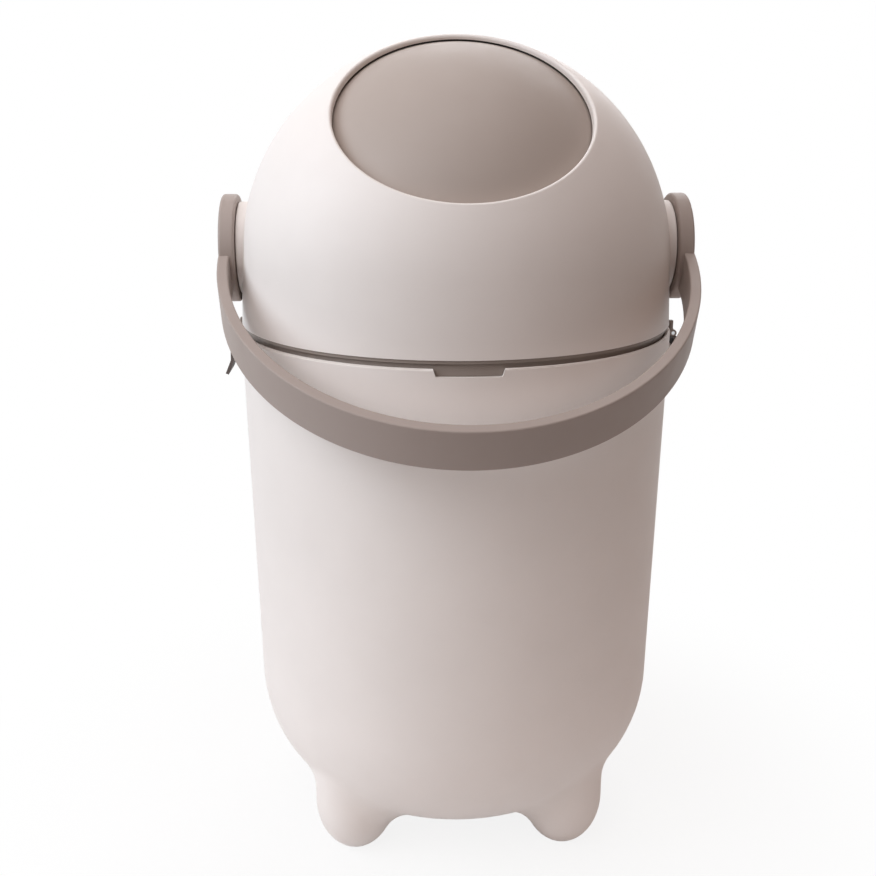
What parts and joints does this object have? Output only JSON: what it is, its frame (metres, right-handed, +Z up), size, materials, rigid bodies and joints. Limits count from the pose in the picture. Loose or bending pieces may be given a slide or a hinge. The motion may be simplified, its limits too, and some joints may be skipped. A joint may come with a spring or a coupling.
{
  "type": "anti-odour nappy bin",
  "caption": "Floor-standing nappy bin on rounded legs, with a dome lid whose ball drum is flipped by a front handle to carry waste past its seals into the bag below.",
  "frame": {"origin": "on the floor, under the middle of the bin", "axes": "+Z up, the window and the handle at rest face -Y, +X to the viewer's right from the front"},
  "size_m": [0.318, 0.3487, 0.5546],
  "materials": {
    "cream_plastic": "satin-gloss moulded",
    "taupe_plastic": "satin moulded",
    "dark_taupe_plastic": "satin moulded",
    "warm_grey_plastic": "fine matt moulded",
    "seal_rubber": "soft matt",
    "seal_felt": "pressed felt",
    "steel": "zinc plated",
    "bush_plastic": "natural acetal"
  },
  "bodies": {
    "bin": {"bin_shell": "cream_plastic", "leg_base": "cream_plastic", "bag_ring": "warm_grey_plastic"},
    "lid": {"lid_dome": "cream_plastic", "lid_ring": "dark_taupe_plastic", "rim_gasket": "seal_rubber", "window_seal": "seal_rubber", "drum_wiper": "seal_rubber", "ring_screws": "steel", "pivot_bush_right": "bush_plastic", "pivot_bush_left": "bush_plastic", "clip_pin_right": "steel", "clip_pin_left": "steel"},
    "drum": {"drum_cover": "taupe_plastic", "drum_base": "taupe_plastic", "drum_cup": "warm_grey_plastic", "drum_axle_right": "warm_grey_plastic", "drum_axle_left": "warm_grey_plastic", "axle_screws": "steel", "pivot_seal_right": "seal_felt", "pivot_seal_left": "seal_felt", "handle": "taupe_plastic", "hub_screws": "steel", "hub_cap_right": "taupe_plastic", "hub_cap_left": "taupe_plastic"},
    "clip_right": {"side_clip_right": "dark_taupe_plastic"},
    "clip_left": {"side_clip_left": "dark_taupe_plastic"}
  },
  "joints": [
    {"name": "lid_lift", "type": "slide", "parent": "bin", "child": "lid", "axis": [0, 0, 1], "range_m": [0, 0.25]},
    {"name": "handle_flip", "type": "hinge", "parent": "lid", "child": "drum", "pos_m": [0, 0, 0.417], "axis": [-1, 0, 0], "range_deg": [0, 143]},
    {"name": "clip_right_open", "type": "hinge", "parent": "lid", "child": "clip_right", "pos_m": [0.151, 0, 0.3585], "axis": [0, -1, 0], "range_deg": [0, 75]},
    {"name": "clip_left_open", "type": "hinge", "parent": "lid", "child": "clip_left", "pos_m": [-0.151, 0, 0.3585], "axis": [0, 1, 0], "range_deg": [0, 75]}
  ]
}
